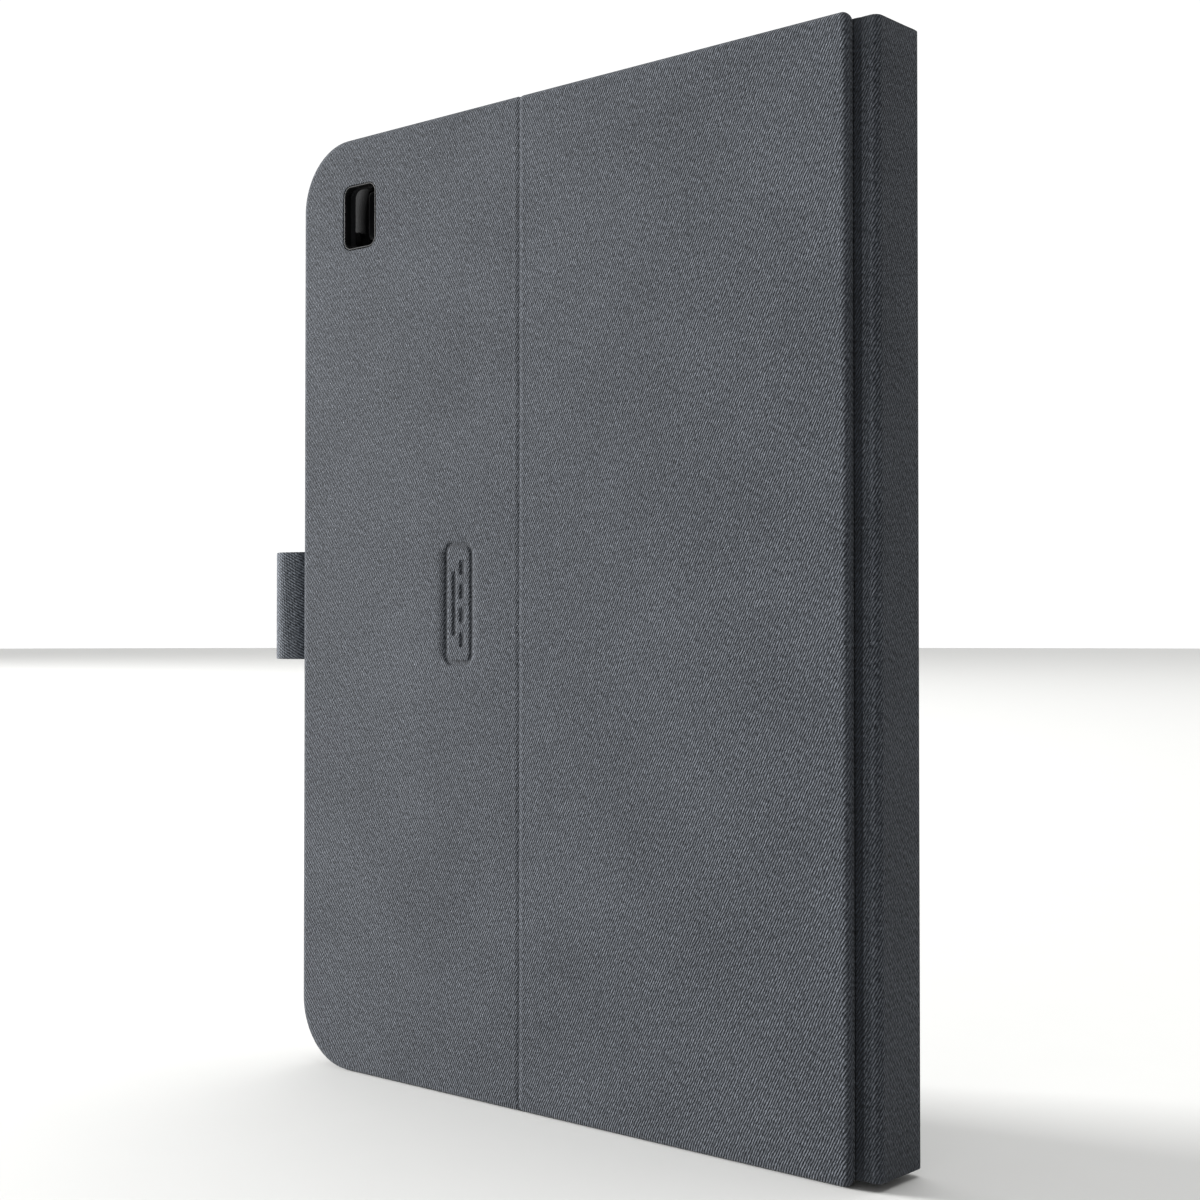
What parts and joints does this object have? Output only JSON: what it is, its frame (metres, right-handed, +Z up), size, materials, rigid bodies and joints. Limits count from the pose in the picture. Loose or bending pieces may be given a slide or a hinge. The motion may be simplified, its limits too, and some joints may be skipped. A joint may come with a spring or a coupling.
{
  "type": "tablet keyboard case",
  "caption": "Folding fabric-covered keyboard case for a tablet, with a tray, a stand fold, a camera opening and a stylus loop, shown closed and standing on its short edge.",
  "frame": {"origin": "centre of the bounding box at its bottom, where the back cover's short edge meets the floor", "axes": "+Z up along the case's long side, -Y out of the back cover, +Y out of the front cover, +X towards the spine"},
  "size_m": [0.2046, 0.0198, 0.256],
  "materials": {
    "cover_twill": "heathered polyester twill",
    "loop_twill": "heathered polyester twill, turned a quarter turn",
    "microfibre_lining": "brushed microfibre",
    "stiffener_board": "grey pulp board",
    "tray_plastic": "fine spark texture",
    "chassis_plastic": "fine spark texture",
    "keycap_plastic": "satin moulded caps",
    "switch_plastic": "satin",
    "light_lens": "clear diffusing lens",
    "pad_rubber": "matt",
    "dome_silicone": "matt silicone",
    "membrane_film": "printed film",
    "circuit_board": "solder resist",
    "battery_foil": "foil pouch",
    "bright_steel": "plated"
  },
  "bodies": {
    "base": {"front_cover_skin": "cover_twill", "front_cover_board": "stiffener_board", "base_lining": "microfibre_lining", "keyboard_chassis": "chassis_plastic", "keyboard_deck": "chassis_plastic", "dome_sheet": "dome_silicone", "key_membrane": "membrane_film", "battery_pack": "battery_foil", "main_circuit_board": "circuit_board", "charging_port": "bright_steel", "status_light": "light_lens", "dock_rail": "chassis_plastic", "dock_magnet_1": "bright_steel", "dock_magnet_2": "bright_steel", "dock_magnet_3": "bright_steel", "closure_magnet_1": "bright_steel", "closure_magnet_2": "bright_steel", "bumper_1": "pad_rubber", "bumper_2": "pad_rubber", "bumper_3": "pad_rubber", "bumper_4": "pad_rubber"},
    "spine": {"spine_skin": "cover_twill", "spine_board": "stiffener_board", "spine_lining": "microfibre_lining", "front_hinge_strip": "cover_twill", "groove_strip": "pad_rubber"},
    "keeper": {"keeper_bar": "bright_steel"},
    "screen_half": {"upper_cover_skin": "cover_twill", "upper_cover_board": "stiffener_board", "upper_cover_lining": "microfibre_lining", "camera_trim": "tray_plastic", "tablet_tray": "tray_plastic", "stylus_loop": "loop_twill", "fold_hinge_strip": "cover_twill"},
    "stand_panel": {"stand_panel_skin": "cover_twill", "stand_panel_board": "stiffener_board", "stand_panel_lining": "microfibre_lining"},
    "function_keys": {"function_key_row": "keycap_plastic"},
    "number_keys": {"number_key_row": "keycap_plastic"},
    "upper_letter_keys": {"upper_letter_row": "keycap_plastic"},
    "home_letter_keys": {"home_letter_row": "keycap_plastic"},
    "lower_letter_keys": {"lower_letter_row": "keycap_plastic"},
    "left_modifiers": {"left_modifier_keys": "keycap_plastic"},
    "space": {"space_bar": "keycap_plastic"},
    "right_modifiers": {"right_modifier_keys": "keycap_plastic"},
    "switch": {"power_switch": "switch_plastic"}
  },
  "joints": [
    {"name": "tablet_tilt", "type": "hinge", "parent": "keeper", "child": "screen_half", "pos_m": [0.08965, 0.0009, 0], "axis": [0, 0, 1], "range_deg": [0, 105]},
    {"name": "spine_fold", "type": "hinge", "parent": "base", "child": "spine", "pos_m": [0.10135, 0.009, 0], "axis": [0, 0, 1], "range_deg": [0, 90]},
    {"name": "dock_travel", "type": "slide", "parent": "base", "child": "keeper", "axis": [-1, 0, 0], "range_m": [0, 0.0484]},
    {"name": "stand_fold", "type": "hinge", "parent": "screen_half", "child": "stand_panel", "pos_m": [-0.00285, -0.0096, 0], "axis": [0, 0, -1], "range_deg": [0, 41.4]},
    {"name": "function_keys_press", "type": "slide", "parent": "base", "child": "function_keys", "axis": [0, 1, 0], "range_m": [0, 0.0011], "stiffness_N_per_m": 300},
    {"name": "number_keys_press", "type": "slide", "parent": "base", "child": "number_keys", "axis": [0, 1, 0], "range_m": [0, 0.0011], "stiffness_N_per_m": 300},
    {"name": "upper_letter_keys_press", "type": "slide", "parent": "base", "child": "upper_letter_keys", "axis": [0, 1, 0], "range_m": [0, 0.0011], "stiffness_N_per_m": 300},
    {"name": "home_letter_keys_press", "type": "slide", "parent": "base", "child": "home_letter_keys", "axis": [0, 1, 0], "range_m": [0, 0.0011], "stiffness_N_per_m": 300},
    {"name": "lower_letter_keys_press", "type": "slide", "parent": "base", "child": "lower_letter_keys", "axis": [0, 1, 0], "range_m": [0, 0.0011], "stiffness_N_per_m": 300},
    {"name": "left_modifiers_press", "type": "slide", "parent": "base", "child": "left_modifiers", "axis": [0, 1, 0], "range_m": [0, 0.0011], "stiffness_N_per_m": 300},
    {"name": "space_press", "type": "slide", "parent": "base", "child": "space", "axis": [0, 1, 0], "range_m": [0, 0.0011], "stiffness_N_per_m": 300},
    {"name": "right_modifiers_press", "type": "slide", "parent": "base", "child": "right_modifiers", "axis": [0, 1, 0], "range_m": [0, 0.0011], "stiffness_N_per_m": 300},
    {"name": "power_slide", "type": "slide", "parent": "base", "child": "switch", "axis": [0, 0, 1], "range_m": [0, 0.003]}
  ],
  "couplings": [
    {"joint": "spine_fold", "follows": "tablet_tilt", "ratio": 0.85714},
    {"joint": "dock_travel", "follows": "tablet_tilt", "m_per_rad": 0.026405},
    {"joint": "stand_fold", "follows": "tablet_tilt", "ratio": 0.39409}
  ]
}
